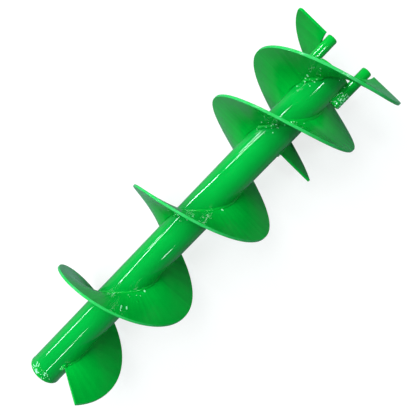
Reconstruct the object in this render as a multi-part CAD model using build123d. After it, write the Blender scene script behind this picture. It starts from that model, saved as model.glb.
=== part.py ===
from build123d import *
from math import atan, cos, pi, radians, sin
import os

# Conveyor auger section, right-hand flighting, lying along +X with its weight on the flight rims.
# The origin is on the turning axis, in the outer face of the plain end's hub. +Z is up.
# Each piece is built with the turning axis along local Z, and ON_X then lays it along row X.
# Angles are about the turning axis, from row +Y towards row +Z.

# Driving dimensions, mm and degrees
FLIGHT_RADIUS = 114.3
TUBE_RADIUS = 31.75
TUBE_WALL = 4.75
BODY_LENGTH = 754.0
FLIGHT_END = 789.0
DOG_END = 790.5
PITCH = 205.0
PLATE = 4.75
MAIN_START = 46.0
SECOND_START = 598.0
MAIN_END_ANGLE = 0.0
SECOND_END_ANGLE = 180.0
FLIGHT_JOINT_ANGLE = -90.0
NOTCH_RADIUS = 53.0
TIP_RADIUS = 8.0
SHAFT_RADIUS = 15.9
DOG_RADIUS = 9.5
DOG_LENGTH = 76.5
DOG_PIN_RADIUS = 9.25
DOG_SHOULDER = 0.6
DOG_SADDLE = 2.35
DOG_ROUNDING = 2.5
ASSEMBLY_GAP = 0.1

# Hubs and bushes
HUB_LENGTH = 56.0
FLANGE = 4.0
FLANGE_RADIUS = 29.2
BUSH_WALL = 3.15

# Welds
STITCH_SWEEP = 45.0
STITCH_SPACING = 120.0
STITCH_MIDDLE = 63.0
JOINT_WELD_HALF_ANGLE = 1.2
JOINT_WELD_CROWN = 0.7
JOINT_WELD_SETBACK = 0.5
DOG_WELD_WIDTH = 4.5
DOG_WELD_TOE_ANGLE = 20.0
DOG_WELD_CONTACT_ANGLE = 120.0
ROOT_WELD_RADIAL_LEG = 4.0
ROOT_WELD_AXIAL_LEG = 6.0
WELD_GAP = 0.05

TUBE_INNER_RADIUS = TUBE_RADIUS - TUBE_WALL
FLIGHT_ROOT = TUBE_RADIUS + ASSEMBLY_GAP
DOG_OFFSET = TUBE_RADIUS + DOG_RADIUS - DOG_SADDLE
BUSH_RADIUS = SHAFT_RADIUS + BUSH_WALL
ON_X = Plane.YZ.location

os.makedirs("parts", exist_ok=True)


def save(shape, node):
    export_step(ON_X * shape, f"parts/{node}.step")


def polar(radius, degrees):
    return (radius * cos(radians(degrees)), radius * sin(radians(degrees)))


def axial_half(radius):
    """Half the plate's thickness along the axis, where the flight climbs at this radius's helix angle."""
    return PLATE / 2 / cos(atan(PITCH / (2 * pi * radius)))


def face_height(radius):
    """Height of the flight's face above its mid-surface. The face is straight from root to rim."""
    share = (radius - FLIGHT_ROOT) / (FLIGHT_RADIUS - FLIGHT_ROOT)
    return axial_half(FLIGHT_ROOT) * (1 - share) + axial_half(FLIGHT_RADIUS) * share


def helix(radius, height, degrees, turns):
    edge = Edge.make_helix(PITCH, PITCH * turns, radius).edges()[0]
    return edge.rotate(Axis.Z, degrees).moved(Location((0, 0, height)))


def helical_bar(corners, start, start_angle, turns):
    """A bar that winds along the flight. Its section is given as (radius, height) corners in turn."""
    edges = [helix(radius, start + height, start_angle, turns) for radius, height in corners]
    sides = [Face.make_surface_from_curves(a, b) for a, b in zip(edges, edges[1:] + edges[:1])]
    ends = [Face(Wire.make_polygon([e @ t for e in edges], close=True)) for t in (0, 1)]
    return Solid(Shell(sides + ends))


def angle_at(x, end_angle):
    """Angle at x of a flight that finishes at FLIGHT_END at end_angle."""
    return end_angle + (x - FLIGHT_END) / PITCH * 360


def x_at(angle, end_angle):
    return FLIGHT_END + (angle - end_angle) / 360 * PITCH


def flight(x_from, x_to, end_angle, inner=FLIGHT_ROOT, outer=FLIGHT_RADIUS, crown=0.0):
    """One length of flight plate between two radial cuts, or of a weld that stands proud by crown."""
    inner_half = face_height(inner) + crown
    outer_half = face_height(outer) + crown
    corners = [(inner, -inner_half), (outer, -outer_half), (outer, outer_half), (inner, inner_half)]
    return helical_bar(corners, x_from, angle_at(x_from, end_angle), (x_to - x_from) / PITCH)


def notched(plate):
    """Cuts a flight's root back past the tube's end, so that the mating coupling's hub fits inside it."""
    depth = FLIGHT_END - BODY_LENGTH + 2 * PLATE
    return plate - Pos(0, 0, BODY_LENGTH + depth / 2) * Cylinder(NOTCH_RADIUS, depth)


def tip_rounded(plate, end_angle):
    """Rounds off the corner between a flight's rim and its drive end."""
    centre = FLIGHT_RADIUS - TIP_RADIUS
    spare = TIP_RADIUS + 1
    corner = Rectangle(spare, spare, align=(Align.MIN, Align.MIN)) - Circle(TIP_RADIUS)
    tool = extrude(Pos(centre, -TIP_RADIUS, 0) * corner, amount=6 * PLATE)
    return plate - Rot(0, 0, end_angle) * Pos(0, 0, FLIGHT_END - 3 * PLATE) * tool


def ring(outline):
    """A turned ring from (radius, height) corners."""
    face = make_face(Plane.XZ * Polyline(*outline, close=True))
    return revolve(face, Axis.Z)


def tube():
    walls = Cylinder(TUBE_RADIUS, BODY_LENGTH - 2 * FLANGE) - Cylinder(TUBE_INNER_RADIUS, BODY_LENGTH)
    return Pos(0, 0, BODY_LENGTH / 2) * walls


def hub():
    """Flanged plug in the tube's end, for the plain end. Its boss is a light press in the tube."""
    boss = TUBE_INNER_RADIUS - WELD_GAP
    bore = BUSH_RADIUS + WELD_GAP
    chamfer_size = 1.5
    return ring([
        (bore, 0),
        (FLANGE_RADIUS, 0),
        (FLANGE_RADIUS, FLANGE - WELD_GAP),
        (boss, FLANGE - WELD_GAP),
        (boss, HUB_LENGTH - chamfer_size),
        (boss - chamfer_size, HUB_LENGTH),
        (bore, HUB_LENGTH),
    ])


def bush():
    sleeve = Cylinder(BUSH_RADIUS, HUB_LENGTH) - Cylinder(SHAFT_RADIUS, HUB_LENGTH)
    return Pos(0, 0, HUB_LENGTH / 2) * sleeve


def ring_weld():
    """The weld that closes the corner between the hub's flange and the tube's end."""
    inner = FLANGE_RADIUS + WELD_GAP
    top = FLANGE - WELD_GAP
    rounding = [(1.35, 0), (0.55, 0.5), (0.15, 1.3), (0, 2.5)]
    crown = [(TUBE_RADIUS - inset, height) for inset, height in rounding]
    return ring([(inner, 0.2), *crown, (TUBE_RADIUS, top), (inner, top)])


def at_drive_end(shape):
    """Turns a plain-end piece round to face out of the drive end."""
    return Pos(0, 0, BODY_LENGTH) * (Rot(180, 0, 0) * shape)


def dog(angle):
    """A round bar let into the tube's side, with its free end turned down to a pin of the right size."""
    x, y = polar(DOG_OFFSET, angle)
    start = DOG_END - DOG_LENGTH
    shoulder = BODY_LENGTH + DOG_SHOULDER
    upright = (Align.CENTER, Align.CENTER, Align.MIN)
    bar = Pos(x, y, start) * Cylinder(DOG_RADIUS, shoulder - start, align=upright)
    bar = fillet(bar.edges().filter_by(GeomType.CIRCLE).sort_by(Axis.Z)[0], DOG_ROUNDING)
    pin = Pos(x, y, shoulder) * Cylinder(DOG_PIN_RADIUS, DOG_END - shoulder, align=upright)
    pin = fillet(pin.edges().filter_by(GeomType.CIRCLE).sort_by(Axis.Z)[-1], DOG_ROUNDING)
    seat = Cylinder(TUBE_RADIUS + ASSEMBLY_GAP, BODY_LENGTH + ASSEMBLY_GAP, align=upright)
    return bar + pin - seat


def dog_welds(angle):
    """Two fillets, one in each groove between a dog and the tube."""
    start = DOG_END - DOG_LENGTH + DOG_ROUNDING
    length = BODY_LENGTH - FLANGE - start
    solids = []
    for side in (1, -1):
        contact_x, contact_y = polar(DOG_RADIUS, side * DOG_WELD_CONTACT_ANGLE)
        outline = Polyline(
            (TUBE_RADIUS - 2, side * DOG_WELD_WIDTH),
            (TUBE_RADIUS + 1, side * DOG_WELD_WIDTH),
            (DOG_OFFSET + contact_x, contact_y),
            polar(TUBE_RADIUS, side * DOG_WELD_TOE_ANGLE),
            close=True,
        )
        bead = extrude(make_face(outline), amount=length)
        bead -= Cylinder(TUBE_RADIUS + WELD_GAP, 3 * length)
        bead -= Pos(DOG_OFFSET, 0, 0) * Cylinder(DOG_RADIUS + WELD_GAP, 3 * length)
        solids.append(Rot(0, 0, angle) * Pos(0, 0, start) * bead.solid())
    return Compound(solids)


def root_weld(x_from, x_to, end_angle, side):
    """A fillet along one face of a flight, where it meets the tube. side is 1 towards the drive end."""
    corner = side * (face_height(FLIGHT_ROOT) + WELD_GAP)
    foot = TUBE_RADIUS + WELD_GAP
    up = foot + ROOT_WELD_RADIAL_LEG
    toe = side * (face_height(up) + WELD_GAP)
    corners = [(foot, corner), (up, toe), (foot, corner + side * ROOT_WELD_AXIAL_LEG)]
    return helical_bar(corners, x_from, angle_at(x_from, end_angle), (x_to - x_from) / PITCH)


def stitches(x_from, x_to, end_angle):
    """Short fillets on a flight's plain side, at the same few angles on every turn."""
    half = STITCH_SWEEP / 2 / 360 * PITCH
    spacing = STITCH_SPACING / 360 * PITCH
    middle = x_at(STITCH_MIDDLE, end_angle)
    middle -= (middle - x_from - half) // spacing * spacing
    solids = []
    while middle + half < x_to:
        solids.append(root_weld(middle - half, middle + half, end_angle, -1))
        middle += spacing
    return Compound(solids)


def main_flight_joints():
    """Where the main flight's plates butt together, one turn apart, underneath the tube."""
    last = x_at(FLIGHT_JOINT_ANGLE, MAIN_END_ANGLE)
    turns = int((last - MAIN_START) // PITCH)
    return [last - k * PITCH for k in range(turns, -1, -1)]


def save_main_flight():
    joints = main_flight_joints()
    half = JOINT_WELD_HALF_ANGLE / 360 * PITCH
    starts = [MAIN_START] + [x + half for x in joints]
    ends = [x - half for x in joints] + [FLIGHT_END]
    for number, (x_from, x_to) in enumerate(zip(starts, ends), 1):
        plate = flight(x_from, x_to, MAIN_END_ANGLE)
        if x_to == FLIGHT_END:
            plate = tip_rounded(notched(plate), MAIN_END_ANGLE)
        save(plate, f"main_flight_{number}")
    inner = TUBE_RADIUS + ROOT_WELD_RADIAL_LEG + 2 * ASSEMBLY_GAP
    outer = FLIGHT_RADIUS - JOINT_WELD_SETBACK
    for number, x in enumerate(joints, 1):
        weld = flight(x - half, x + half, MAIN_END_ANGLE, inner, outer, JOINT_WELD_CROWN)
        save(weld, f"flight_joint_weld_{number}")


def save_root_welds(name, x_from, end_angle):
    """The drive side is welded all along, short of the tube's end, and the plain side in stitches."""
    on_tube = BODY_LENGTH - FLANGE
    foot = axial_half(FLIGHT_ROOT) + ROOT_WELD_AXIAL_LEG
    save(root_weld(x_from, on_tube - foot, end_angle, 1), f"{name}_drive_side_weld")
    save(stitches(x_from + foot, on_tube, end_angle), f"{name}_plain_side_stitches")


save(tube(), "core_tube")
save(hub(), "plain_end_hub")
save(bush(), "plain_end_bush")
save(ring_weld(), "plain_end_ring_weld")
save(at_drive_end(hub()), "drive_end_hub")
save(at_drive_end(bush()), "drive_end_bush")
save(at_drive_end(ring_weld()), "drive_end_ring_weld")
save_main_flight()
second = flight(SECOND_START, FLIGHT_END, SECOND_END_ANGLE)
save(tip_rounded(notched(second), SECOND_END_ANGLE), "second_flight")
save_root_welds("main_flight", MAIN_START, MAIN_END_ANGLE)
save_root_welds("second_flight", SECOND_START, SECOND_END_ANGLE)
for number, angle in enumerate((MAIN_END_ANGLE, SECOND_END_ANGLE), 1):
    save(dog(angle), f"drive_dog_{number}")
    save(dog_welds(angle), f"drive_dog_{number}_welds")
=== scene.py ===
import math
import random

import bmesh
import bpy
from mathutils import Euler, Matrix, Vector, noise


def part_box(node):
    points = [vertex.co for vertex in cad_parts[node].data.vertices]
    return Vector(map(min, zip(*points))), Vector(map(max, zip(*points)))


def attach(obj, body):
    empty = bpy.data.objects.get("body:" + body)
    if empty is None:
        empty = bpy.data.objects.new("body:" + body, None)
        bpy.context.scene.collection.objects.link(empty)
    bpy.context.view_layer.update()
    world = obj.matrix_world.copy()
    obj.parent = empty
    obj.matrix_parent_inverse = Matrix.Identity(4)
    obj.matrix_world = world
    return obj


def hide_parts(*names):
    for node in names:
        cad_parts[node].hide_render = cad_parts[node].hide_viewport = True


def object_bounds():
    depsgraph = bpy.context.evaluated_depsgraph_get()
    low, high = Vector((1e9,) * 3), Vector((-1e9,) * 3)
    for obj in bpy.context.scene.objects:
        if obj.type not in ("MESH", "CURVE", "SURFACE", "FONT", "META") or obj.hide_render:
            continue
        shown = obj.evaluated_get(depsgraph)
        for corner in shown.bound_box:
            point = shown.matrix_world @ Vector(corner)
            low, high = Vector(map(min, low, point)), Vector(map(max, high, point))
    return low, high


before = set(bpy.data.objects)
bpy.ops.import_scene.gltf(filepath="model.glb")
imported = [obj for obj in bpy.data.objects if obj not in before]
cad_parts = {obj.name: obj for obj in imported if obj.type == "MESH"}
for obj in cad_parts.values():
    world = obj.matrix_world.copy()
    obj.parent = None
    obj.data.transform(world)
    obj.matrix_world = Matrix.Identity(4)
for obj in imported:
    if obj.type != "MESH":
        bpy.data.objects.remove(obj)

cad_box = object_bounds()

# Sizes in metres, the auger lying along +X. Angles are in degrees about its axis, from +Y towards +Z.
MM = 0.001
TUBE_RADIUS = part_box("core_tube")[1].y
HUB_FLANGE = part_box("core_tube")[0].x
BODY_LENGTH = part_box("core_tube")[1].x + HUB_FLANGE
FLANGE_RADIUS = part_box("plain_end_hub")[1].y
FLIGHT_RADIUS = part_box("main_flight_2")[1].y
FLOOR = cad_box[0].z
dog_low, dog_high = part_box("drive_dog_1")
DOG_RADIUS = dog_high.z
DOG_OFFSET = dog_high.y - DOG_RADIUS
DOG_START = dog_low.x
DOG_END = dog_high.x

PITCH = 205 * MM
PLATE = 4.75 * MM
MAIN_START = 46 * MM
SECOND_START = 598 * MM
FLIGHT_END = 789 * MM
MAIN_END_ANGLE = 0
SECOND_END_ANGLE = 180
JOINT_ANGLE = -90
JOINT_HALF_ANGLE = 1.2
NOTCH_RADIUS = 53 * MM
TIP_RADIUS = 8 * MM
STITCH_SWEEP = 45
STITCH_SPACING = 120
STITCH_MIDDLE = 63
MERGE_GAP = 0.00001


def around(angle, x=0.0, radius=1.0):
    """The point at this angle, place along the axis and radius."""
    a = math.radians(angle)
    return Vector((x, radius * math.cos(a), radius * math.sin(a)))


def angle_at(x, end_angle):
    return end_angle + (x - FLIGHT_END) / PITCH * 360


def x_at(angle, end_angle):
    return FLIGHT_END + (angle - end_angle) / 360 * PITCH


def axial_half(radius):
    """Half the plate's thickness along the axis, where the flight climbs at this radius's helix angle."""
    return PLATE / 2 / math.cos(math.atan(PITCH / (2 * math.pi * radius)))


def finish_mesh(bm, name, node_names, material, merge=MERGE_GAP):
    bmesh.ops.remove_doubles(bm, verts=bm.verts, dist=merge)
    bmesh.ops.recalc_face_normals(bm, faces=bm.faces)
    mesh = bpy.data.meshes.new(name)
    bm.to_mesh(mesh)
    bm.free()
    mesh.shade_smooth()
    piece = bpy.data.objects.new(name, mesh)
    bpy.context.scene.collection.objects.link(piece)
    mesh.materials.append(material)
    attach(piece, "root")
    if node_names:
        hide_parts(*node_names)
    return piece


# ---------------------------------------------------------------- materials

DEEP_GREEN = (0.0, 0.36, 0.028)
FULL_GREEN = (0.0, 0.52, 0.044)
# The tube's greens are a darker copy of the flights' enamel, darkened against the direct light the tube
# catches: painted shade.
TUBE_SHADED_DEEP_GREEN = (0.0, 0.33, 0.034)
TUBE_SHADED_FULL_GREEN = (0.0, 0.44, 0.05)
FLIGHT_DEEP_GREEN = (0.0, 0.36, 0.034)
FLIGHT_FULL_GREEN = (0.0, 0.57, 0.05)
# Darker green mixed in along the flights' ridges, as painted shade.
RIDGE_SHADE_GREEN = (0.0, 0.26, 0.03, 1)
# Paler green along the flights' rims, as a painted highlight.
RIM_HIGHLIGHT_GREEN = (0.14, 0.75, 0.35, 1)
# Pale mint for painted glints on weld metal, on spatter and on the dogs' rough first stretch.
PAINTED_GLINT_COLOUR = (0.42, 1.0, 0.62, 1)
# Where the ridge noise starts to darken the colour as painted shade, and how strongly it darkens.
RIDGE_SHADE_FROM = 0.42
RIDGE_SHADE_SHARE = 0.9
# How wide and how strong the painted rim highlight is.
RIM_HIGHLIGHT_WIDTH = 0.5 * MM
RIM_HIGHLIGHT_SHARE = 0.4
# How sharply the painted glints rise out of the noise.
GLINT_SHARPNESS = 14.0
ROUGH_LENGTH = 27 * MM
# An x in metres that no piece reaches, for painted glints that go on to the piece's end.
PAST_THE_END = 10

def new_group(name, inputs, outputs):
    group = bpy.data.node_groups.new(name, "ShaderNodeTree")
    for label, kind, value in inputs:
        socket = group.interface.new_socket(name=label, in_out="INPUT", socket_type=kind)
        socket.default_value = value
    for label, kind in outputs:
        group.interface.new_socket(name=label, in_out="OUTPUT", socket_type=kind)
    return group, group.nodes.new("NodeGroupInput"), group.nodes.new("NodeGroupOutput")


def node(tree, kind, **settings):
    made = tree.nodes.new(kind)
    for key, value in settings.items():
        setattr(made, key, value)
    return made


def wire(tree, source, target):
    tree.links.new(source, target)


def maths(tree, operation, a, b=None):
    made = node(tree, "ShaderNodeMath", operation=operation)
    for socket, value in zip(made.inputs, (a, b)):
        if value is None:
            continue
        if isinstance(value, (int, float)):
            socket.default_value = value
        else:
            wire(tree, value, socket)
    return made.outputs[0]


def noise_field(tree, vector, scale, detail=2.0, roughness=0.5):
    made = node(tree, "ShaderNodeTexNoise")
    made.inputs["Scale"].default_value = scale
    made.inputs["Detail"].default_value = detail
    made.inputs["Roughness"].default_value = roughness
    wire(tree, vector, made.inputs["Vector"])
    return made.outputs["Fac"]


def make_paint_film():
    """Sprayed enamel: orange peel, slow waves in the film, and a little unevenness of tone and gloss."""
    group, into, out = new_group(
        "paint_film",
        [("Peel", "NodeSocketFloat", 0.1), ("Wave", "NodeSocketFloat", 0.6),
         ("Rough", "NodeSocketFloat", 0.1), ("Deep", "NodeSocketColor", (0, 0.25, 0.02, 1)),
         ("Full", "NodeSocketColor", (0, 0.4, 0.03, 1))],
        [("Color", "NodeSocketColor"), ("Roughness", "NodeSocketFloat"), ("Height", "NodeSocketFloat")],
    )
    place = node(group, "ShaderNodeTexCoord").outputs["Object"]
    peel = noise_field(group, place, 700, 1.0)
    wave = noise_field(group, place, 40, 2.0)
    tone = noise_field(group, place, 16, 4.0, 0.6)
    height = maths(group, "ADD", maths(group, "MULTIPLY", peel, into.outputs["Peel"]),
                   maths(group, "MULTIPLY", wave, into.outputs["Wave"]))
    wire(group, height, out.inputs["Height"])
    mix = node(group, "ShaderNodeMix", data_type="RGBA")
    wire(group, tone, mix.inputs["Factor"])
    wire(group, into.outputs["Deep"], mix.inputs["A"])
    wire(group, into.outputs["Full"], mix.inputs["B"])
    wire(group, mix.outputs["Result"], out.inputs["Color"])
    gloss = maths(group, "ADD", into.outputs["Rough"], maths(group, "MULTIPLY", tone, 0.03))
    wire(group, gloss, out.inputs["Roughness"])
    return group


def make_ridges_and_painted_light():
    """Faint radial ridges, from the rolls that draw strip into flighting, darkened along them as painted
    shade, and a painted highlight on the rim.
    """
    group, into, out = new_group(
        "ridges_and_painted_light",
        [("Scale", "NodeSocketFloat", 9.0), ("Color", "NodeSocketColor", (0, 0.5, 0.05, 1))],
        [("Height", "NodeSocketFloat"), ("Color", "NodeSocketColor")],
    )
    place = node(group, "ShaderNodeTexCoord").outputs["Object"]
    across = node(group, "ShaderNodeVectorMath", operation="MULTIPLY")
    across.inputs[1].default_value = (0, 1, 1)
    wire(group, place, across.inputs[0])
    radial = node(group, "ShaderNodeVectorMath", operation="NORMALIZE")
    wire(group, across.outputs[0], radial.inputs[0])
    along = node(group, "ShaderNodeVectorMath", operation="MULTIPLY")
    along.inputs[1].default_value = (3, 0, 0)
    wire(group, place, along.inputs[0])
    spot = node(group, "ShaderNodeVectorMath", operation="ADD")
    wire(group, radial.outputs[0], spot.inputs[0])
    wire(group, along.outputs[0], spot.inputs[1])
    streak = node(group, "ShaderNodeTexNoise")
    streak.inputs["Detail"].default_value = 2.0
    wire(group, into.outputs["Scale"], streak.inputs["Scale"])
    wire(group, spot.outputs[0], streak.inputs["Vector"])
    wire(group, streak.outputs["Fac"], out.inputs["Height"])
    # Painted shade: the colour darkens where the ridge noise is high.
    dull = node(group, "ShaderNodeMix", data_type="RGBA")
    above = maths(group, "SUBTRACT", streak.outputs["Fac"], RIDGE_SHADE_FROM)
    wire(group, maths(group, "MULTIPLY", above, RIDGE_SHADE_SHARE), dull.inputs["Factor"])
    wire(group, into.outputs["Color"], dull.inputs["A"])
    dull.inputs["B"].default_value = RIDGE_SHADE_GREEN
    # Painted highlight: a paler green mixed in along the rim.
    reach = node(group, "ShaderNodeVectorMath", operation="LENGTH")
    wire(group, across.outputs[0], reach.inputs[0])
    rim = maths(group, "GREATER_THAN", reach.outputs["Value"], FLIGHT_RADIUS - RIM_HIGHLIGHT_WIDTH)
    rim_highlight = node(group, "ShaderNodeMix", data_type="RGBA")
    rim_highlight_share = maths(group, "MULTIPLY", streak.outputs["Fac"], RIM_HIGHLIGHT_SHARE)
    wire(group, maths(group, "MULTIPLY", rim, rim_highlight_share), rim_highlight.inputs["Factor"])
    wire(group, dull.outputs["Result"], rim_highlight.inputs["A"])
    rim_highlight.inputs["B"].default_value = RIM_HIGHLIGHT_GREEN
    wire(group, rim_highlight.outputs["Result"], out.inputs["Color"])
    return group


def make_painted_glints():
    """Painted glints: small pale specks that stand in for highlights on rough weld metal, as far along X as
    Until.
    """
    group, into, out = new_group(
        "painted_glints",
        [("Color", "NodeSocketColor", (0, 0.5, 0.05, 1)), ("Scale", "NodeSocketFloat", 300.0),
         ("From", "NodeSocketFloat", 0.6), ("Until", "NodeSocketFloat", 10.0)],
        [("Color", "NodeSocketColor")],
    )
    place = node(group, "ShaderNodeTexCoord").outputs["Object"]
    field = node(group, "ShaderNodeTexNoise")
    field.inputs["Detail"].default_value = 1.0
    wire(group, place, field.inputs["Vector"])
    wire(group, into.outputs["Scale"], field.inputs["Scale"])
    above = maths(group, "SUBTRACT", field.outputs["Fac"], into.outputs["From"])
    high = maths(group, "MULTIPLY", above, GLINT_SHARPNESS)
    along = node(group, "ShaderNodeSeparateXYZ")
    wire(group, place, along.inputs[0])
    inside = maths(group, "LESS_THAN", along.outputs["X"], into.outputs["Until"])
    limited = maths(group, "MINIMUM", maths(group, "MAXIMUM", high, 0.0), 1.0)
    share = maths(group, "MULTIPLY", limited, inside)
    mix = node(group, "ShaderNodeMix", data_type="RGBA")
    wire(group, share, mix.inputs["Factor"])
    wire(group, into.outputs["Color"], mix.inputs["A"])
    mix.inputs["B"].default_value = PAINTED_GLINT_COLOUR
    wire(group, mix.outputs["Result"], out.inputs["Color"])
    return group


PAINT_FILM = make_paint_film()
RIDGES_AND_PAINTED_LIGHT = make_ridges_and_painted_light()
PAINTED_GLINTS = make_painted_glints()


def enamel(name, deep, full, peel=0.06, wave=0.5, rough=0.06, streak=0.0, coat=0.6, specular=0.4,
           glints=None):
    """Green machinery enamel under a clear gloss. The last argument gives the painted glints' scale, rarity
    and end.
    """
    material = bpy.data.materials.new(name)
    material.use_nodes = True
    tree = material.node_tree
    shader = tree.nodes["Principled BSDF"]
    film = node(tree, "ShaderNodeGroup", node_tree=PAINT_FILM)
    film.inputs["Peel"].default_value = peel
    film.inputs["Wave"].default_value = wave
    film.inputs["Rough"].default_value = rough
    film.inputs["Deep"].default_value = (*deep, 1)
    film.inputs["Full"].default_value = (*full, 1)
    colour = film.outputs["Color"]
    height = film.outputs["Height"]
    # The ridges add bump, and their colour carries painted shade and a painted highlight on the rim.
    if streak:
        ridges_with_painted_light = node(tree, "ShaderNodeGroup", node_tree=RIDGES_AND_PAINTED_LIGHT)
        height = maths(tree, "ADD", height, maths(tree, "MULTIPLY", ridges_with_painted_light.outputs["Height"], streak))
        wire(tree, colour, ridges_with_painted_light.inputs["Color"])
        colour = ridges_with_painted_light.outputs["Color"]
    # Pale specks mixed into the colour as painted glints.
    if glints:
        glint_specks = node(tree, "ShaderNodeGroup", node_tree=PAINTED_GLINTS)
        for label, value in zip(("Scale", "From", "Until"), glints):
            glint_specks.inputs[label].default_value = value
        wire(tree, colour, glint_specks.inputs["Color"])
        colour = glint_specks.outputs["Color"]
    wire(tree, colour, shader.inputs["Base Color"])
    wire(tree, film.outputs["Roughness"], shader.inputs["Roughness"])
    relief = node(tree, "ShaderNodeBump")
    relief.inputs["Distance"].default_value = 0.4 * MM
    relief.inputs["Strength"].default_value = 1.0
    wire(tree, height, relief.inputs["Height"])
    wire(tree, relief.outputs["Normal"], shader.inputs["Normal"])
    shader.inputs["Specular IOR Level"].default_value = specular
    shader.inputs["Coat Weight"].default_value = coat
    shader.inputs["Coat Roughness"].default_value = 0.03
    return material


def bronze(name):
    """Sintered bronze, dark with oil in its pores."""
    material = bpy.data.materials.new(name)
    material.use_nodes = True
    tree = material.node_tree
    shader = tree.nodes["Principled BSDF"]
    place = node(tree, "ShaderNodeTexCoord").outputs["Object"]
    grain = noise_field(tree, place, 1500, 2.0)
    ramp = node(tree, "ShaderNodeValToRGB")
    ramp.color_ramp.elements[0].color = (0.30, 0.17, 0.06, 1)
    ramp.color_ramp.elements[1].color = (0.62, 0.42, 0.18, 1)
    wire(tree, grain, ramp.inputs["Fac"])
    wire(tree, ramp.outputs["Color"], shader.inputs["Base Color"])
    wire(tree, maths(tree, "ADD", maths(tree, "MULTIPLY", grain, 0.2), 0.25), shader.inputs["Roughness"])
    shader.inputs["Metallic"].default_value = 1.0
    return material


# The tube's paint is the darker, painted-shade copy of the enamel.
TUBE_PAINT = enamel("tube_enamel", TUBE_SHADED_DEEP_GREEN, TUBE_SHADED_FULL_GREEN, peel=0.03, wave=0.04, rough=0.03)
FLIGHT_PAINT = enamel("flight_enamel", FLIGHT_DEEP_GREEN, FLIGHT_FULL_GREEN, wave=0.9, rough=0.16,
                      streak=1.5, coat=0.08, specular=0.25)
SMOOTH_WELD_PAINT = enamel("smooth_weld_enamel", DEEP_GREEN, FULL_GREEN, peel=0.1, wave=0.6, rough=0.12,
                           coat=0.3, specular=0.3)
# The dog, weld and spatter paints carry painted glints. On the dogs they lie only along the rough first
# stretch.
DOG_PAINT = enamel("dog_enamel", DEEP_GREEN, FULL_GREEN, wave=0.4,
                   glints=(330, 0.56, DOG_START + ROUGH_LENGTH))
WELD_PAINT = enamel("weld_enamel", DEEP_GREEN, FULL_GREEN, peel=0.3, wave=0.8,
                    glints=(230, 0.64, PAST_THE_END))
SPATTER_PAINT = enamel("spatter_enamel", DEEP_GREEN, FULL_GREEN, peel=0.1,
                       glints=(140, 0.46, PAST_THE_END))
BUSH_BRONZE = bronze("oiled_bronze")


# ---------------------------------------------------------------- flights

INNER_CUTS = 2
OUTER_CUTS = 9
DEGREES_PER_STEP = 3.0
TIP_FLATS = 5
ROOT_CLEARANCE = 0.1 * MM
SHEARED_EDGE = 0.9 * MM


def spiral(bm, profile, x_from, x_to, degrees_per_step=DEGREES_PER_STEP):
    """Winds a profile, drawn at the start angle, along the flight's helix. Gives back its far end."""
    sweep = (x_to - x_from) / PITCH * 2 * math.pi
    steps = max(2, round(math.degrees(sweep) / degrees_per_step))
    made = bmesh.ops.spin(bm, geom=profile, cent=(0, 0, 0), axis=(1, 0, 0),
                          dvec=((x_to - x_from) / steps, 0, 0), angle=sweep, steps=steps,
                          use_merge=False, use_duplicate=False)
    return made["geom_last"]


def round_tip(bm, end_angle):
    """Cuts the corner between rim and drive end to an arc, one flat at a time."""
    centre = around(end_angle, 0, FLIGHT_RADIUS - TIP_RADIUS) + around(end_angle - 90, 0, TIP_RADIUS)
    for number in range(TIP_FLATS):
        normal = around(end_angle + 90 * (number + 0.5) / TIP_FLATS)
        near = [f for f in bm.faces if f.calc_center_median().x > FLIGHT_END - 5 * TIP_RADIUS]
        near += list({e for f in near for e in f.edges}) + list({v for f in near for v in f.verts})
        bmesh.ops.bisect_plane(bm, geom=near, plane_co=centre + normal * TIP_RADIUS, plane_no=normal,
                               dist=1e-6, clear_outer=True)


def flight_plate(name, nodes, x_from, x_to, end_angle):
    """One length of flighting: a radial edge wound into a sheet, given its thickness by modifiers."""
    bm = bmesh.new()
    start = angle_at(x_from, end_angle)
    root, step, rim = [bm.verts.new(around(start, x_from, r))
                       for r in (TUBE_RADIUS + ROOT_CLEARANCE, NOTCH_RADIUS, FLIGHT_RADIUS)]
    inner = bm.edges.new((root, step))
    outer = bm.edges.new((step, rim))
    bmesh.ops.subdivide_edges(bm, edges=[inner], cuts=INNER_CUTS)
    bmesh.ops.subdivide_edges(bm, edges=[outer], cuts=OUTER_CUTS)
    last = spiral(bm, bm.verts[:] + bm.edges[:], x_from, min(x_to, BODY_LENGTH))
    if x_to > BODY_LENGTH:
        outer_edges = [e for e in last if isinstance(e, bmesh.types.BMEdge)
                       and min(v.co.yz.length for v in e.verts) > NOTCH_RADIUS - 0.1 * MM]
        outer_verts = list({v for e in outer_edges for v in e.verts})
        spiral(bm, outer_verts + outer_edges, BODY_LENGTH, x_to)
        round_tip(bm, end_angle)
    piece = finish_mesh(bm, name, nodes, FLIGHT_PAINT, merge=0.5 * MM)
    thick = piece.modifiers.new("plate", "SOLIDIFY")
    thick.thickness = PLATE
    thick.offset = 0
    thick.use_even_offset = True
    edge = piece.modifiers.new("sheared_edge", "BEVEL")
    edge.width = SHEARED_EDGE
    edge.segments = 3
    edge.limit_method = "ANGLE"
    edge.angle_limit = math.radians(50)
    edge.harden_normals = True


def main_joints():
    last = x_at(JOINT_ANGLE, MAIN_END_ANGLE)
    turns = int((last - MAIN_START) // PITCH)
    return [last - k * PITCH for k in range(turns, -1, -1)]


def make_flights():
    joints = main_joints()
    gap = JOINT_HALF_ANGLE / 360 * PITCH
    starts = [MAIN_START] + [x + gap for x in joints]
    ends = [x - gap for x in joints] + [FLIGHT_END]
    for number, (x_from, x_to) in enumerate(zip(starts, ends), 1):
        flight_plate(f"main_plate_{number}", [f"main_flight_{number}"], x_from, x_to, MAIN_END_ANGLE)
    flight_plate("second_plate", ["second_flight"], SECOND_START, FLIGHT_END, SECOND_END_ANGLE)


# ---------------------------------------------------------------- welds

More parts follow.
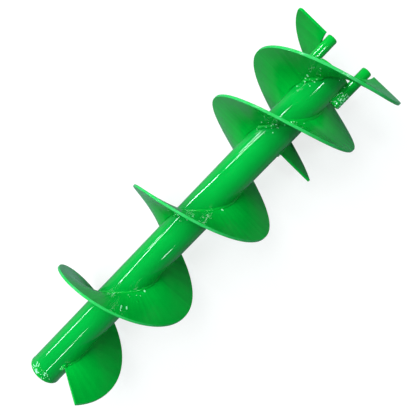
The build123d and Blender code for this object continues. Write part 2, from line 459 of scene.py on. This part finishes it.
RIPPLE = 2.6 * MM
SCALLOP_POWER = 0.6
SCALLOP_MEAN = 0.6
BEAD_STEP = 0.65 * MM
ROOT_BEAD_DEGREES = 1.6
WELD_STOP = 6 * MM
JOINT_SLOPE_RADIUS = 73 * MM
JOINT_LIFT = 1.9 * MM
DOG_GROOVE_Y = 32.3 * MM
DOG_GROOVE_Z = 7.6 * MM


def lumpy(point, path, height, lump):
    """How far a bead stands out here: overlapping ripples from each dab of the torch, and slow lumps."""
    scallop = abs(math.sin(math.pi * path / RIPPLE)) ** SCALLOP_POWER
    slow = noise.noise(point * 160) + 0.5 * noise.noise(point * 420)
    return height * (scallop - SCALLOP_MEAN) + lump * slow


def bead_ring(bm, centre, out, across, half_width, rise, sides=10):
    """An ellipse across the weld, round its foot line, with its height along out."""
    verts = []
    for k in range(sides):
        a = math.pi * 2 * k / sides
        verts.append(bm.verts.new(centre + across * half_width * math.cos(a) + out * rise * math.sin(a)))
    edges = [bm.edges.new((verts[k], verts[(k + 1) % sides])) for k in range(sides)]
    return verts, edges


def cap_ends(bm):
    """Closes a bead's open ends with a face each."""
    loops = [e for e in bm.edges if e.is_boundary]
    bmesh.ops.holes_fill(bm, edges=loops, sides=0)


def root_bead(bm, x_from, x_to, end_angle, side, half_width, rise, height, lump, sunk=0.0):
    """A fillet weld wound along one face of a flight, where it meets the tube."""
    fresh = len(bm.verts)
    start = angle_at(x_from, end_angle)
    foot = TUBE_RADIUS + (0.3 - sunk) * rise
    lift = axial_half(TUBE_RADIUS) + (0.25 - sunk / 2) * half_width
    centre = around(start, x_from + side * lift, foot)
    out = around(start)
    verts, edges = bead_ring(bm, centre, out, Vector((1, 0, 0)), half_width, rise)
    spiral(bm, verts + edges, x_from, x_to, ROOT_BEAD_DEGREES)
    bm.verts.ensure_lookup_table()
    for vert in bm.verts[fresh:]:
        angle = math.degrees(math.atan2(vert.co.z, vert.co.y))
        turn = round((angle_at(vert.co.x - side * lift, end_angle) - angle) / 360)
        spot = x_at(angle + 360 * turn, end_angle)
        middle = around(angle, spot + side * lift, foot)
        away = vert.co - middle
        share = (spot - x_from) / (x_to - x_from)
        taper = min(1, 8 * min(share, 1 - share) * (x_to - x_from) / (20 * MM) + 0.35)
        path = math.radians(angle + 360 * turn) * TUBE_RADIUS * 1.4
        gain = 1 + lumpy(vert.co, path, height, lump) / max(away.length, 1e-5)
        vert.co = middle + away * gain * taper


def make_root_welds():
    on_tube = BODY_LENGTH - HUB_FLANGE
    foot = axial_half(TUBE_RADIUS) + WELD_STOP
    for name, start, end_angle in (("main_flight", MAIN_START, MAIN_END_ANGLE),
                                   ("second_flight", SECOND_START, SECOND_END_ANGLE)):
        bm = bmesh.new()
        root_bead(bm, start, on_tube - foot, end_angle, 1, half_width=5.0 * MM, rise=3.6 * MM,
                  height=0.12 * MM, lump=0.5 * MM, sunk=0.6)
        cap_ends(bm)
        finish_mesh(bm, f"{name}_drive_side_bead", [f"{name}_drive_side_weld"],
                    SMOOTH_WELD_PAINT)
        bm = bmesh.new()
        half = STITCH_SWEEP / 2 / 360 * PITCH
        spacing = STITCH_SPACING / 360 * PITCH
        middle = x_at(STITCH_MIDDLE, end_angle)
        middle -= (middle - start - foot - half) // spacing * spacing
        while middle + half < on_tube:
            root_bead(bm, middle - half, middle + half, end_angle, -1, half_width=4.8 * MM,
                      rise=3.8 * MM, height=1.0 * MM, lump=1.5 * MM)
            middle += spacing
        cap_ends(bm)
        finish_mesh(bm, f"{name}_stitch_beads", [f"{name}_plain_side_stitches"], WELD_PAINT)


def straight_bead(bm, start, finish, out, across, half_width, rise, height, lump):
    """A bead run in a straight line, its section drawn once and pushed along in short steps."""
    run = finish - start
    steps = max(8, round(run.length / BEAD_STEP))
    fresh = len(bm.verts)
    verts, edges = bead_ring(bm, start, out, across, half_width, rise)
    for _ in range(steps):
        made = bmesh.ops.extrude_edge_only(bm, edges=edges)["geom"]
        edges = [e for e in made if isinstance(e, bmesh.types.BMEdge)]
        moved = list({v for e in edges for v in e.verts})
        bmesh.ops.translate(bm, verts=moved, vec=run / steps)
    bm.verts.ensure_lookup_table()
    heading = run.normalized()
    for vert in bm.verts[fresh:]:
        path = (vert.co - start).dot(heading)
        middle = start + heading * path
        away = vert.co - middle
        end_room = min(path, run.length - path) / (3 * MM)
        taper = min(1, 0.4 + max(0, end_room))
        gain = 1 + lumpy(vert.co, path, height, lump) / max(away.length, 1e-5)
        vert.co = middle + away * gain * taper


def make_joint_welds():
    """Radial beads, nearly flush, where the main flight's plates butt together."""
    for number, x in enumerate(main_joints(), 1):
        bm = bmesh.new()
        for side in (1, -1):
            low = around(JOINT_ANGLE, x, TUBE_RADIUS + 4.5 * MM)
            high = around(JOINT_ANGLE, x, FLIGHT_RADIUS - 1.5 * MM)
            slope = math.atan(PITCH / (2 * math.pi * JOINT_SLOPE_RADIUS))
            across = around(JOINT_ANGLE + 90) * math.cos(slope) + Vector((math.sin(slope), 0, 0))
            out = Vector((side * math.cos(slope), 0, 0)) - side * math.sin(slope) * around(JOINT_ANGLE + 90)
            straight_bead(bm, low + out * JOINT_LIFT, high + out * JOINT_LIFT, out, across,
                          half_width=3.2 * MM, rise=1.3 * MM, height=0.25 * MM, lump=0.2 * MM)
        cap_ends(bm)
        finish_mesh(bm, f"flight_joint_bead_{number}", [f"flight_joint_weld_{number}"],
                    SMOOTH_WELD_PAINT)


def make_ring_welds():
    """The rounded weld round each end of the tube, turned from its outline and then roughened."""
    low = FLANGE_RADIUS / MM + 0.05
    for name, face, way in (("plain_end", 0, 1), ("drive_end", BODY_LENGTH, -1)):
        bm = bmesh.new()
        outline = [(low, 4.0), (low, 0.3), (30.3, 0.0), (31.1, 0.35), (31.7, 1.1),
                   (32.0, 2.2), (32.05, 3.4), (31.9, 4.6), (31.6, 5.2), (low, 5.2)]
        verts = [bm.verts.new((face + way * x * MM, r * MM, 0)) for r, x in outline]
        edges = [bm.edges.new(pair) for pair in zip(verts, verts[1:])]
        bmesh.ops.spin(bm, geom=verts + edges, cent=(0, 0, 0), axis=(1, 0, 0), angle=2 * math.pi,
                       steps=160, use_merge=True)
        for vert in bm.verts:
            reach = vert.co.yz.length
            if reach > TUBE_RADIUS - 1.5 * MM:
                path = math.atan2(vert.co.z, vert.co.y) * TUBE_RADIUS
                gain = 1 + lumpy(vert.co, path, 0.12 * MM, 0.16 * MM) / reach
                vert.co.y *= gain
                vert.co.z *= gain
        finish_mesh(bm, f"{name}_ring_bead", [f"{name}_ring_weld"], WELD_PAINT)


def make_dog_welds():
    """A bead in each groove between a dog and the tube."""
    for number, side in ((1, 1), (2, -1)):
        bm = bmesh.new()
        for up in (1, -1):
            out = Vector((0, -0.2 * side, 0.98 * up)).normalized()
            across = Vector((0, 0.98 * side, 0.2 * up)).normalized()
            y = side * DOG_GROOVE_Y
            z = up * DOG_GROOVE_Z
            straight_bead(bm, Vector((DOG_START + 3 * MM, y, z)), Vector((BODY_LENGTH - 5 * MM, y, z)), out,
                          across, half_width=3.6 * MM, rise=2.4 * MM, height=0.7 * MM, lump=0.8 * MM)
        cap_ends(bm)
        finish_mesh(bm, f"drive_dog_{number}_beads", [f"drive_dog_{number}_welds"],
                    WELD_PAINT)


# ---------------------------------------------------------------- drive dogs

DOG_EDGE = 2.6 * MM
ROUGH_SLICE = 0.8 * MM
ROUGH_FADE = 6 * MM
ROUGH_HEIGHT = 0.75 * MM


def make_dogs():
    """Round bars with eased ends. Weld metal has run over the first stretch of each."""
    for number, side in ((1, 1), (2, -1)):
        bm = bmesh.new()
        length = DOG_END - DOG_START
        lie = Matrix.Translation((DOG_START + length / 2, side * DOG_OFFSET, 0)) @ Matrix.Rotation(
            math.pi / 2, 4, "Y")
        bmesh.ops.create_cone(bm, cap_ends=True, segments=48, radius1=DOG_RADIUS, radius2=DOG_RADIUS,
                              depth=length, matrix=lie)
        rims = [e for e in bm.edges if abs(e.verts[0].co.x - e.verts[1].co.x) < 0.1 * MM]
        bmesh.ops.bevel(bm, geom=rims, offset=DOG_EDGE, offset_type="OFFSET", segments=5, profile=0.5,
                        affect="EDGES", material=-1)
        slices = round((ROUGH_LENGTH + ROUGH_FADE) / ROUGH_SLICE)
        for k in range(1, slices):
            geom = bm.faces[:] + bm.edges[:] + bm.verts[:]
            bmesh.ops.bisect_plane(bm, geom=geom, plane_co=(DOG_START + 3 * MM + k * ROUGH_SLICE, 0, 0),
                                   plane_no=(1, 0, 0), dist=1e-6)
        for vert in bm.verts:
            fade = min(1, max(0, (DOG_START + ROUGH_LENGTH - vert.co.x) / ROUGH_FADE))
            fade *= min(1, (vert.co.x - DOG_START) / (2 * MM))
            if fade > 0:
                away = Vector((0, vert.co.y - side * DOG_OFFSET, vert.co.z))
                bump = max(0, noise.noise(vert.co * 480)) * 1.3 + 0.5 * noise.noise(vert.co * 1100)
                vert.co += away.normalized() * fade * bump * ROUGH_HEIGHT
        piece = finish_mesh(bm, f"dog_bar_{number}", [f"drive_dog_{number}"], DOG_PAINT)
        piece.data.set_sharp_from_angle(angle=math.radians(40))


# ---------------------------------------------------------------- spatter

TUBE_END_DROPLETS = 110
STITCH_DROPLETS = 16
DRIVE_SIDE_DROPLETS = 7
TUBE_DROPLETS = 10
GLINT_DAB_SIZE = 1.6 * MM


def droplet(bm, place, out, size, heading=None, stretch=1.0):
    """A bead of spatter, flattened where it struck and drawn out along its heading."""
    across = heading or out.orthogonal().normalized()
    basis = Matrix((across * stretch, out.cross(across), out * 0.55)).transposed().to_4x4()
    bmesh.ops.create_icosphere(bm, subdivisions=2, radius=size,
                               matrix=Matrix.Translation(place) @ basis)


def tube_spot(x, angle):
    return around(angle, x, TUBE_RADIUS), around(angle)


def plate_spot(angle, radius, end_angle, turns_back, side):
    """A place on one face of a flight, and the way out of it."""
    x = x_at(angle - 360 * turns_back, end_angle)
    slope = math.atan(PITCH / (2 * math.pi * radius))
    out = Vector((math.cos(slope), 0, 0)) - math.sin(slope) * around(angle + 90)
    return around(angle, x, radius) + side * out * PLATE / 2, side * out


# Drawn-out dabs on one face of a flight's turn, set where they stand in for glints on the plate as
# painted highlights: end angle, turns back and face, then for each dab its angle, its radius in mm and
# how far it is drawn out. Face 1 looks to the drive end.
GLINT_DABS = (((MAIN_END_ANGLE, 3, 1), ((104, 88, 8), (110, 82, 4), (84, 37, 2), (88, 41, 2),
                                  (126, 58, 1.5), (148, 36, 2))),
        ((MAIN_END_ANGLE, 2, 1), ((91, 86, 7), (83, 38, 3), (113, 65, 1.5), (143, 36, 2))),
        ((MAIN_END_ANGLE, 1, -1), ((83, 82, 5),)),
        ((MAIN_END_ANGLE, 1, 1), ((105, 37, 2),)),
        ((SECOND_END_ANGLE, 0, -1), ((78, 76, 6), (71, 82, 4), (64, 64, 2))))


def make_spatter():
    """Weld spatter under the paint, thickest by the stitches and on the plain end of the tube, and dabs as
    painted glints.
    """
    rng = random.Random(7)
    bm = bmesh.new()
    for _ in range(TUBE_END_DROPLETS):
        place, out = tube_spot(rng.uniform(4, 19) * MM, rng.gauss(77, 18))
        droplet(bm, place, out, rng.uniform(0.6, 1.6) * MM)
    runs = [(MAIN_END_ANGLE, k) for k in range(1, 4)] + [(SECOND_END_ANGLE, 0)]
    for end_angle, back in runs:
        for _ in range(STITCH_DROPLETS):
            angle = rng.gauss(STITCH_MIDDLE, 14)
            place, out = plate_spot(angle, TUBE_RADIUS + rng.uniform(5, 19) * MM, end_angle, back, -1)
            if place.x > MAIN_START:
                droplet(bm, place, out, rng.uniform(0.7, 1.9) * MM)
        for _ in range(DRIVE_SIDE_DROPLETS):
            angle = rng.gauss(118, 22)
            place, out = plate_spot(angle, TUBE_RADIUS + rng.uniform(4, 17) * MM, end_angle, back, 1)
            if place.x > MAIN_START:
                droplet(bm, place, out, rng.uniform(0.6, 1.4) * MM)
        for _ in range(TUBE_DROPLETS):
            angle = rng.gauss(75, 20)
            middle = x_at(angle - 360 * back, end_angle)
            place, out = tube_spot(middle - rng.uniform(8, 22) * MM, angle)
            if 20 * MM < place.x < BODY_LENGTH - 6 * MM:
                droplet(bm, place, out, rng.uniform(0.5, 1.3) * MM)
    # These dabs stand in for glints on the plates, as painted highlights.
    for (end_angle, back, side), glint_dabs in GLINT_DABS:
        for angle, radius, stretch in glint_dabs:
            place, out = plate_spot(angle, radius * MM, end_angle, back, side)
            droplet(bm, place, out, GLINT_DAB_SIZE, around(angle), stretch)
    finish_mesh(bm, "weld_spatter", [], SPATTER_PAINT)


def make_start_lumps():
    """The weld carried round the first edge of each flight."""
    for name, start, end_angle in (("main", MAIN_START, MAIN_END_ANGLE),
                                   ("second", SECOND_START, SECOND_END_ANGLE)):
        bm = bmesh.new()
        angle = angle_at(start, end_angle) - 3
        reach = axial_half(TUBE_RADIUS) + 5 * MM
        low = around(angle, start - reach, TUBE_RADIUS + 0.5 * MM)
        high = around(angle, start + reach, TUBE_RADIUS + 0.5 * MM)
        straight_bead(bm, low, high, around(angle), around(angle + 90), half_width=4.4 * MM,
                      rise=3.6 * MM, height=0.8 * MM, lump=1.4 * MM)
        cap_ends(bm)
        finish_mesh(bm, f"{name}_start_bead", [], WELD_PAINT)


# ---------------------------------------------------------------- carried-over parts

def paint_carried_parts():
    # The tube and hubs take the darker, painted-shade copy of the enamel. The bushes take bronze.
    for name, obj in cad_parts.items():
        obj.data.materials.clear()
        obj.data.materials.append(BUSH_BRONZE if "bush" in name else TUBE_PAINT)


# ---------------------------------------------------------------- floor, light and camera

FLOOR_SEEN = (0.28, 0.28, 0.28, 1)
FLOOR_GLOW = 0.76
FLOOR_ON_PAINT = (0.17, 0.28, 0.25, 1)
ROOM_SEEN = (0.95, 0.95, 0.95, 1)
ROOM_LOW_ON_PAINT = (0.1, 0.33, 0.3, 1)
ROOM_HIGH_ON_PAINT = (0.03, 0.06, 0.07, 1)
COOL_WHITE = (0.8, 1, 1)
CAMERA_PLACE = (0.59534, -0.01518, 0.89764)
# Degrees about X, then Y, then Z.
CAMERA_TURN = (-6.82157, 7.47855, -46.26324)


def make_floor():
    bm = bmesh.new()
    bmesh.ops.create_grid(bm, x_segments=2, y_segments=2, size=8, matrix=Matrix.Translation((0.4, 0, FLOOR)))
    mesh = bpy.data.meshes.new("floor")
    bm.to_mesh(mesh)
    bm.free()
    floor = bpy.data.objects.new("floor", mesh)
    bpy.context.scene.collection.objects.link(floor)
    mesh.materials.append(pale_floor())


def pale_floor():
    """Near white where it is seen, and duller in what it throws back at the paint."""
    material = bpy.data.materials.new("pale_floor")
    material.use_nodes = True
    tree = material.node_tree
    seen = tree.nodes["Principled BSDF"]
    seen.inputs["Base Color"].default_value = FLOOR_SEEN
    seen.inputs["Roughness"].default_value = 0.9
    seen.inputs["Specular IOR Level"].default_value = 0.0
    seen.inputs["Emission Color"].default_value = (1, 1, 1, 1)
    seen.inputs["Emission Strength"].default_value = FLOOR_GLOW
    dull = node(tree, "ShaderNodeBsdfDiffuse")
    dull.inputs["Color"].default_value = FLOOR_ON_PAINT
    choose = node(tree, "ShaderNodeMixShader")
    wire(tree, node(tree, "ShaderNodeLightPath").outputs["Is Camera Ray"], choose.inputs["Fac"])
    wire(tree, dull.outputs[0], choose.inputs[1])
    wire(tree, seen.outputs[0], choose.inputs[2])
    wire(tree, choose.outputs[0], tree.nodes["Material Output"].inputs["Surface"])
    return material


def area_light(name, place, target, size, power, colour=(1, 1, 1), along=(1, 0, 0), in_gloss=True):
    light = bpy.data.lights.new(name, "AREA")
    light.shape = "RECTANGLE"
    light.size, light.size_y = size
    light.energy = power
    light.color = colour
    lamp = bpy.data.objects.new(name, light)
    bpy.context.scene.collection.objects.link(lamp)
    away = (Vector(place) - Vector(target)).normalized()
    across = away.cross(Vector(along)).normalized()
    along = across.cross(away)
    lamp.matrix_world = Matrix.Translation(place) @ Matrix((along, across, away)).transposed().to_4x4()
    lamp.visible_glossy = in_gloss


def make_backdrop():
    """A room that is near white where it is seen, and dim in what it throws at the paint."""
    world = bpy.data.worlds.new("studio")
    world.use_nodes = True
    bpy.context.scene.world = world
    tree = world.node_tree
    dim = tree.nodes["Background"]
    way = node(tree, "ShaderNodeSeparateXYZ")
    wire(tree, node(tree, "ShaderNodeTexCoord").outputs["Generated"], way.inputs[0])
    ramp = node(tree, "ShaderNodeValToRGB")
    ramp.color_ramp.elements[0].position = 0.0
    ramp.color_ramp.elements[0].color = ROOM_LOW_ON_PAINT
    ramp.color_ramp.elements[1].position = 0.6
    ramp.color_ramp.elements[1].color = ROOM_HIGH_ON_PAINT
    wire(tree, way.outputs["Z"], ramp.inputs["Fac"])
    wire(tree, ramp.outputs["Color"], dim.inputs["Color"])
    dim.inputs["Strength"].default_value = 1.0
    seen = node(tree, "ShaderNodeBackground")
    seen.inputs["Color"].default_value = ROOM_SEEN
    choose = node(tree, "ShaderNodeMixShader")
    wire(tree, node(tree, "ShaderNodeLightPath").outputs["Is Camera Ray"], choose.inputs["Fac"])
    wire(tree, dim.outputs[0], choose.inputs[1])
    wire(tree, seen.outputs[0], choose.inputs[2])
    wire(tree, choose.outputs[0], tree.nodes["World Output"].inputs["Surface"])


# Narrow lights, each a line from one x in metres and tilt from upright to another, and a width. Seen
# from the camera, its glint lies on the tube or a dog at about (x + 1.5) / 3.5.
STRIPS = (((-1.34, 67), (-0.90, 67), 0.08),
          ((-0.66, 45), (-0.08, 66), 0.05),
          ((-0.36, 68), (-0.24, 70), 0.05),
          ((0.01, 84), (0.26, 68), 0.05),
          ((0.33, 66), (0.82, 41), 0.04),
          ((0.44, 73), (0.64, 65), 0.04),
          ((-1.42, -13), (-1.13, -14), 0.06),
          ((-1.10, -11), (-1.04, -12), 0.06),
          ((0.99, -2), (1.08, -6), 0.06),
          ((-0.34, -46), (-0.26, -47), 0.06),
          ((0.94, 70), (0.98, 70), 0.06),
          ((1.12, 58), (1.36, 58), 0.30),
          ((1.12, -20), (1.40, -20), 0.30))
STRIP_DISTANCE = 2.2
STRIP_RADIANCE = 34


def make_light():
    make_backdrop()
    for number, (start, finish, width) in enumerate(STRIPS, 1):
        ends = [around(90 - tilt, x, STRIP_DISTANCE) for x, tilt in (start, finish)]
        length = (ends[1] - ends[0]).length
        middle = (ends[0] + ends[1]) / 2
        power = STRIP_RADIANCE * math.pi * length * width
        area_light(f"strip_{number}", middle, (middle.x, 0, 0), (length, width), power, COOL_WHITE,
                   along=ends[1] - ends[0])
    area_light("ceiling_panel", place=(0.35, 1.3, 2.4), target=(0.4, 0, 0), size=(3.0, 1.8), power=92,
               in_gloss=False)


def make_camera():
    data = bpy.data.cameras.new("view")
    data.sensor_width = 36
    data.lens = 44.93
    data.clip_end = 50
    data.shift_x = 0.0101
    data.shift_y = 0.0046
    camera = bpy.data.objects.new("view", data)
    bpy.context.scene.collection.objects.link(camera)
    turn = Euler([math.radians(a) for a in CAMERA_TURN]).to_matrix().to_4x4()
    camera.matrix_world = Matrix.Translation(CAMERA_PLACE) @ turn
    bpy.context.scene.camera = camera


make_flights()
make_root_welds()
make_joint_welds()
make_ring_welds()
make_dog_welds()
make_dogs()
make_spatter()
make_start_lumps()
paint_carried_parts()
make_floor()
make_light()
make_camera()
bpy.context.scene.view_settings.view_transform = "Standard"
